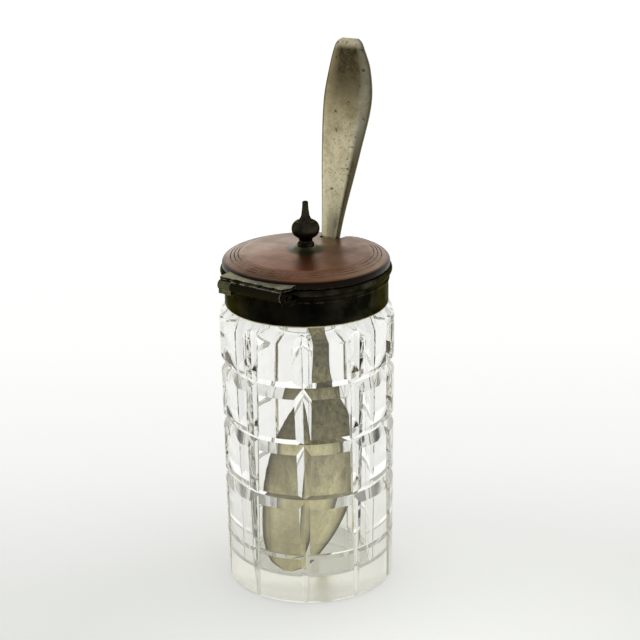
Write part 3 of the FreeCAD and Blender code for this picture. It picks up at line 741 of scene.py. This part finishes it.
# ---------------------------------------------------------------- collar and hinge

# the side on which the collar is blackest with painted shade, and how far out that shade begins and is
# full
BLACKEST_SIDE = (0.42, -0.91, 0.0)
SHADE_SPAN = (14.5 * MM, 22.5 * MM)
EDGE_RUB_AND_HIGHLIGHT_REACH = 0.5 * MM
LEAF_UNDERSIDE = 96.75 * MM
# levels between which the painted black shade of the barrel gives way to the leaf
BARREL_SHADE_FADE = (LEAF_UNDERSIDE + 0.1 * MM, LEAF_UNDERSIDE + 0.3 * MM)


def black_metal_material(name, base, tint, edge_rub_and_highlight, grain, front_shade):
    """Blackened brass: near black, tinted in patches, with painted shade in front, bright along its edges
    from handling and painted highlights.
    """
    material, tree, shader = new_material(name)
    patches = noise(tree, grain, 6.0, 0.62)
    colour = ramp(tree, patches, [(0.40, base), (0.68, tint)])
    # painted shade: the front darker
    shade = span(tree, along(tree, BLACKEST_SIDE), *SHADE_SPAN, 0.0, front_shade)
    colour = mix(tree, shade, colour, (0.001, 0.001, 0.0006))
    # edges bright from handling, and a painted highlight
    breakup = span(tree, noise(tree, grain * 4, 5.0, 0.6), 0.42, 0.6, 0.0, 1.0)
    colour = mix(tree, times(tree, worn_and_highlit_edges(tree, EDGE_RUB_AND_HIGHLIGHT_REACH), breakup), colour, edge_rub_and_highlight)
    tree.links.new(colour, shader.inputs["Base Color"])
    shader.inputs["Metallic"].default_value = 1.0
    shader.inputs["Specular Tint"].default_value = (0.45, 0.45, 0.36, 1)
    tree.links.new(span(tree, patches, 0.35, 0.65, 0.46, 0.28), shader.inputs["Roughness"])
    bump(tree, shader, noise(tree, grain * 9, 5.0), 0.03 * MM)
    return material


def leaf_material():
    """The hinge leaf: grey-green on top, painted black shade underneath and on the barrel, beige along
    its edges from handling and painted highlights.
    """
    material, tree, shader = new_material("leaf_patina_and_shade")
    patches = noise(tree, 180, 6.0, 0.65)
    colour = ramp(tree, patches, [(0.36, (0.12, 0.12, 0.09)), (0.5, (0.20, 0.195, 0.15)),
                                  (0.66, (0.34, 0.33, 0.26))])
    left_end = span(tree, along(tree, (1, 0, 0)), 4.5 * MM, -3 * MM, 0.0, 0.8)
    colour = mix(tree, left_end, colour, (0.34, 0.33, 0.26))
    # painted shade: near black where the leaf faces down
    under = span(tree, facing_up(tree), 0.25, 0.75, 1.0, 0.0)
    colour = mix(tree, under, colour, (0.008, 0.008, 0.005))
    # painted shade: the barrel under the leaf near black
    barrel = span(tree, along(tree, UP), *BARREL_SHADE_FADE, 1.0, 0.0)
    colour = mix(tree, barrel, colour, (0.012, 0.012, 0.007))
    # edges beige from handling, and a painted highlight
    breakup = span(tree, noise(tree, 600, 4.0, 0.6), 0.42, 0.64, 0.0, 0.8)
    colour = mix(tree, times(tree, worn_and_highlit_edges(tree, EDGE_RUB_AND_HIGHLIGHT_REACH), breakup), colour, (0.62, 0.57, 0.43))
    tree.links.new(colour, shader.inputs["Base Color"])
    shader.inputs["Metallic"].default_value = 1.0
    shader.inputs["Specular Tint"].default_value = (0.6, 0.58, 0.45, 1)
    tree.links.new(span(tree, patches, 0.35, 0.65, 0.55, 0.38), shader.inputs["Roughness"])
    bump(tree, shader, noise(tree, 1300, 5.0), 0.03 * MM)
    return material


def finish_nodes(names, material):
    """Puts one material on each of some CAD nodes."""
    for name in names:
        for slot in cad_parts[name].material_slots:
            slot.material = material


# ---------------------------------------------------------------- camera

CAMERA_AZIMUTH = math.radians(36.5)
CAMERA_DISTANCE = 509.6 * MM
CAMERA_HEIGHT = 262.1 * MM
CAMERA_YAW = math.radians(-0.42)
CAMERA_PITCH = math.radians(-19.781)
CAMERA_ROLL = math.radians(-0.783)
CAMERA_LENS = 105.593
CAMERA_SENSOR = 36
# the level direction in which the camera looks past the jar
AWAY = Vector((-math.sin(CAMERA_AZIMUTH), math.cos(CAMERA_AZIMUTH), 0))


def make_camera():
    """The camera of the product shot: in front and to the right of the hinge, looking down on the lid."""
    lens = bpy.data.cameras.new("camera")
    lens.lens = CAMERA_LENS
    lens.sensor_width = CAMERA_SENSOR
    camera = bpy.data.objects.new("camera", lens)
    bpy.context.scene.collection.objects.link(camera)
    place = -AWAY * CAMERA_DISTANCE
    place.z = CAMERA_HEIGHT
    turn = Matrix.Rotation(CAMERA_AZIMUTH + CAMERA_YAW, 4, "Z")
    tilt = Matrix.Rotation(math.pi / 2 + CAMERA_PITCH, 4, "X")
    roll = Matrix.Rotation(CAMERA_ROLL, 4, "Z")
    camera.matrix_world = Matrix.Translation(place) @ turn @ tilt @ roll
    bpy.context.scene.camera = camera


# ---------------------------------------------------------------- stage

FLOOR_GAP = 0.03 * MM
FLOOR_HALF = 6.0
# the floor's tones, painted lighter away from the camera as if lit from behind, from near the camera to
# far away, and where along that way they begin and end
FLOOR_SPAN = (-120 * MM, 360 * MM)
FLOOR_TONES = [(0.0, (0.70, 0.715, 0.69)), (0.22, (0.735, 0.745, 0.725)), (0.40, (0.84, 0.845, 0.83)),
               (0.66, (0.91, 0.912, 0.90)), (1.0, (0.95, 0.95, 0.945))]
# a painted pool of light on the floor in front of the jar and to its right: its middle, and how far out
# it fades
GLOW_PLACE = Vector((68.7, -42.5, 0.0)) * MM
GLOW_FADE = (20 * MM, 105 * MM)
# the side from which most light comes: behind the jar and a little to its right
BRIGHT_SIDE = AWAY + Vector((0.25, 0.2, 0))


def floor_material():
    """Pale paper, painted a little lighter away from the camera and in a pool of light by the jar, and
    glowing with painted light of its own.
    """
    material, tree, shader = new_material("floor_paper")
    tone = ramp(tree, span(tree, along(tree, AWAY), *FLOOR_SPAN, 0.0, 1.0), FLOOR_TONES)
    glow = span(tree, distance_from(tree, GLOW_PLACE), *GLOW_FADE, 1.0, 0.0)
    tone = mix(tree, glow, tone, (0.885, 0.895, 0.87))
    tree.links.new(tone, shader.inputs["Base Color"])
    # painted light: the floor glows in its own tones
    tree.links.new(tone, shader.inputs["Emission Color"])
    shader.inputs["Emission Strength"].default_value = 0.42
    shader.inputs["Roughness"].default_value = 0.9
    shader.inputs["Specular IOR Level"].default_value = 0.1
    bump(tree, shader, noise(tree, 300, 3.0), 0.02 * MM)
    return material


def make_floor():
    """A floor much wider than the view."""
    shape = bmesh.new()
    corners = ((-1, -1), (1, -1), (1, 1), (-1, 1))
    shape.faces.new([shape.verts.new((x * FLOOR_HALF, y * FLOOR_HALF, -FLOOR_GAP)) for x, y in corners])
    floor = add_object("floor", finished_mesh("floor", shape))
    floor.data.materials.append(floor_material())


def make_world():
    """Soft studio light: a bright band low all round, dimmer overhead and behind the camera."""
    world = bpy.data.worlds.new("studio")
    bpy.context.scene.world = world
    world.use_nodes = True
    tree = world.node_tree
    background = tree.nodes["Background"]
    ray = tree.nodes.new("ShaderNodeTexCoord").outputs["Generated"]
    around = span(tree, dot(tree, ray, BRIGHT_SIDE.normalized()), -0.9, 0.7, 0.62, 1.10)
    overhead = span(tree, dot(tree, ray, UP), 0.26, 0.60, 1.12, 0.68)
    background.inputs["Color"].default_value = (1.0, 1.0, 0.985, 1)
    tree.links.new(times(tree, around, overhead), background.inputs["Strength"])


# ---------------------------------------------------------------- the scene

make_camera()
make_world()
make_floor()
glass = make_glass()
glass.data.materials.append(glass_material())

collar = black_metal_material("collar_black", (0.006, 0.006, 0.004), (0.042, 0.037, 0.025),
                              (0.11, 0.095, 0.06), 130, 0.85)
bronze = black_metal_material("dark_bronze", (0.012, 0.011, 0.008), (0.050, 0.044, 0.030),
                              (0.20, 0.17, 0.12), 170, 0.5)
# painted light: the left knuckle lighter and brass-coloured, a lit copy of the hinge's dark metal
lit_brass = black_metal_material("hinge_lit_brass", (0.055, 0.052, 0.028), (0.17, 0.155, 0.085),
                             (0.40, 0.34, 0.20), 150, 0.0)
# painted shade: the right knuckle and the pin near black, a shaded copy of the same metal
shaded_black = black_metal_material("hinge_shaded_black", (0.004, 0.004, 0.003), (0.016, 0.014, 0.009),
                            (0.030, 0.026, 0.016), 190, 0.0)

finish_nodes(("collar_band", "collar_wire"), collar)
finish_nodes(("collar_bead", "finial_knob", "finial_washer", "finial_nut"), bronze)
finish_nodes(("hinge_knuckle_left",), lit_brass)
finish_nodes(("hinge_knuckle_right", "hinge_pin"), shaded_black)
finish_nodes(("lid_leaf",), leaf_material())
finish_nodes(("lid_cover",), copper_material())
finish_nodes(("neck_cement",), cement_material())
spoon = make_spoon()
spoon.data.materials.append(silver_material())

scene = bpy.context.scene
scene.view_settings.view_transform = "Standard"
scene.cycles.max_bounces = 32
scene.cycles.transmission_bounces = 32
scene.cycles.glossy_bounces = 12
scene.cycles.transparent_max_bounces = 12
